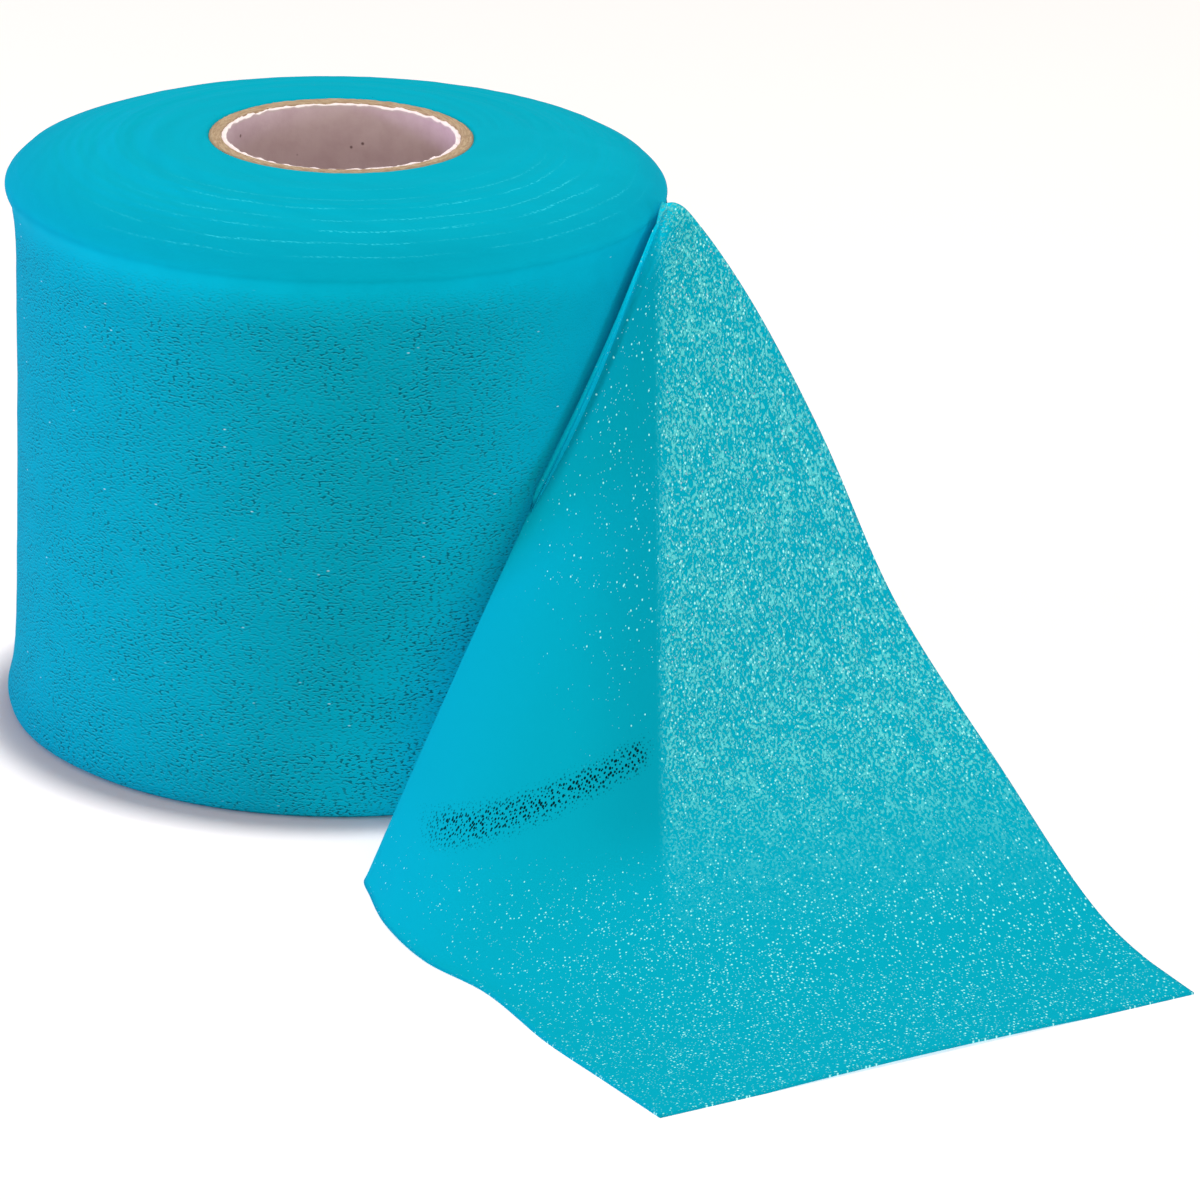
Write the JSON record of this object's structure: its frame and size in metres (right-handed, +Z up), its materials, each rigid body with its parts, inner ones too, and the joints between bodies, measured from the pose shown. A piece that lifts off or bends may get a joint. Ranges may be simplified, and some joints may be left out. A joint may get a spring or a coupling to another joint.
{
  "type": "foam underwrap roll",
  "caption": "Roll of thin foam underwrap on a board core, standing on one end, its sheer loose end folded back and laid out flat.",
  "frame": {"origin": "middle of the bounding box's bottom, on the surface that the roll stands on", "axes": "+Z up along the roll's axis, -Y to the front where the loose end runs out, +X to the right"},
  "size_m": [0.1318, 0.1562, 0.07],
  "materials": {
    "kraft_board": "matte tan kraft board with fibrous plies",
    "liner_paper": "matte grey paper with a pale torn edge",
    "foam": "matte turquoise open-cell foam, finely wrinkled",
    "sheer_foam": "matte turquoise open-cell foam, thin and sheer"
  },
  "bodies": {
    "root": {"core_tube": "kraft_board", "core_liner": "liner_paper", "foam_roll": "foam", "foam_tail": "sheer_foam"}
  },
  "joints": []
}
